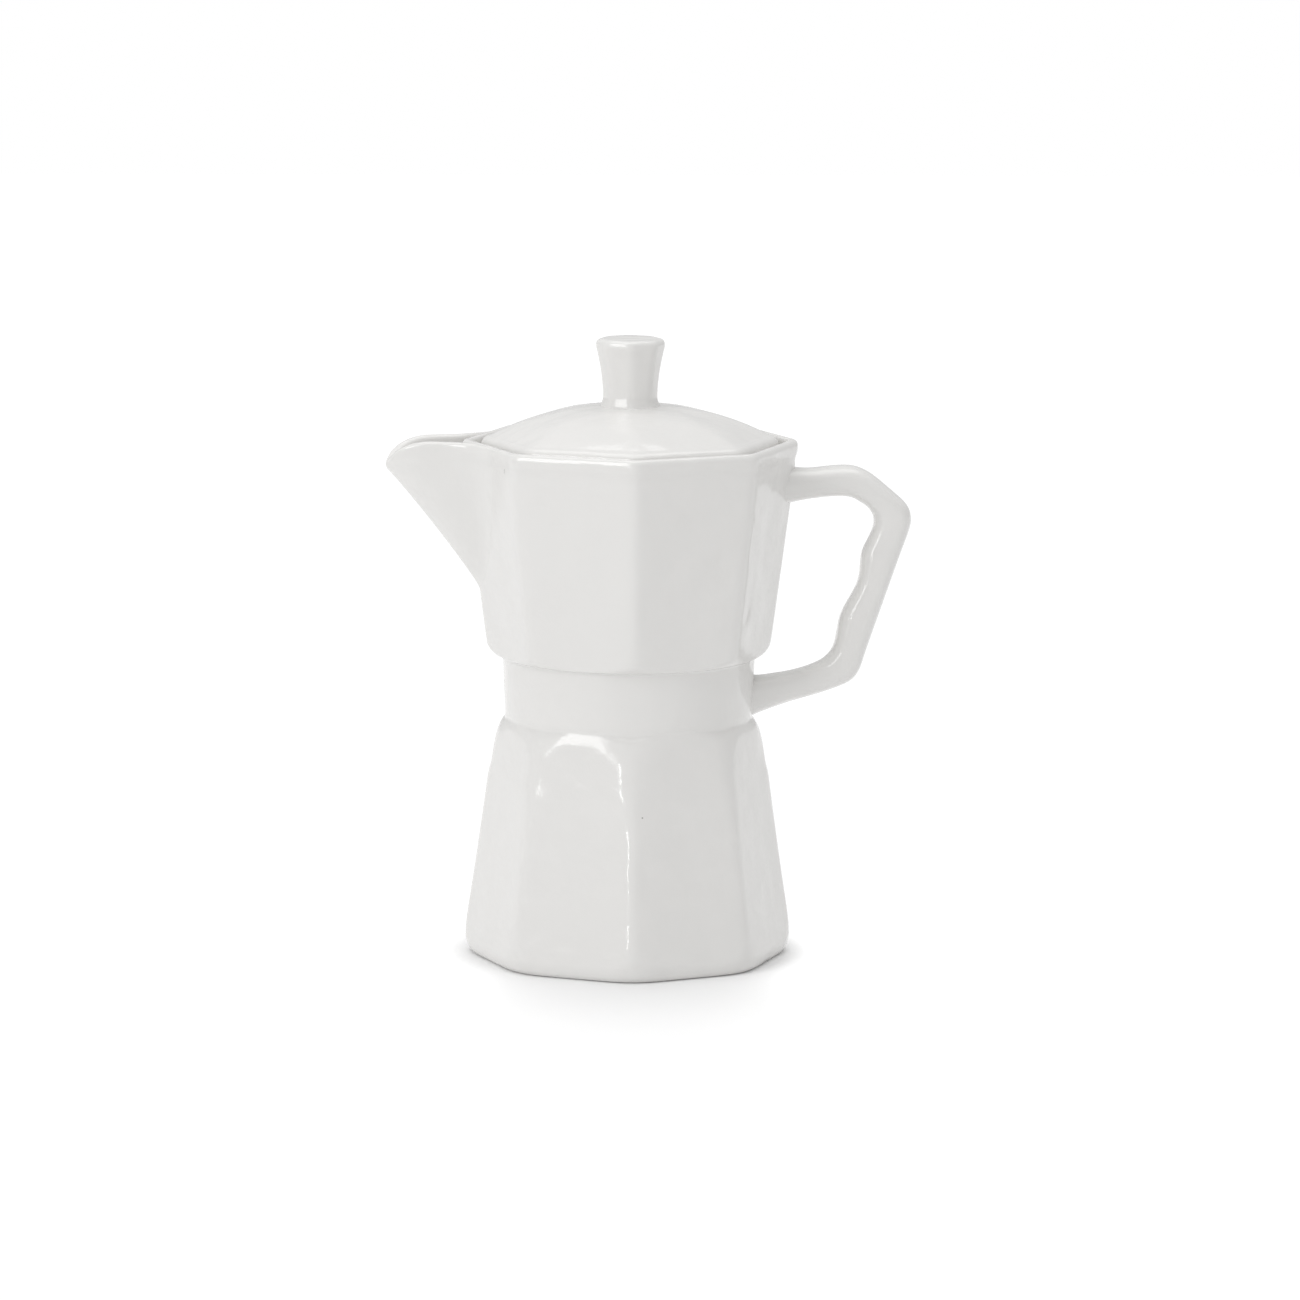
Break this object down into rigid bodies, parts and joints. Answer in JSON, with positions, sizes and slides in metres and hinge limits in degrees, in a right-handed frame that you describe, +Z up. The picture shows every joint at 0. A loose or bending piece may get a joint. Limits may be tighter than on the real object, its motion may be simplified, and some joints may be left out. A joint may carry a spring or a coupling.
{
  "type": "coffee pot",
  "caption": "Glazed porcelain serving pot in the form of an eight-sided stove-top coffee maker, with a round waist, V-shaped spout, bent side handle and a lift-off domed lid with a flared knob.",
  "frame": {"origin": "centre of the foot, on the surface that the pot stands on", "axes": "+Z up, +X from the spout towards the handle, -X along the spout; corners of the octagon lie on the X and Y axes"},
  "size_m": [0.1694, 0.1082, 0.2],
  "materials": {
    "glaze": "white gloss glaze",
    "biscuit": "unglazed, finely sanded"
  },
  "bodies": {
    "pot": {"pot_body": "glaze", "spout": "glaze", "handle": "glaze"},
    "lid": {"lid": "glaze", "lid_knob": "glaze"}
  },
  "joints": [
    {"name": "lid_lift", "type": "slide", "parent": "pot", "child": "lid", "axis": [0, 0, 1], "range_m": [0, 0.06]}
  ]
}
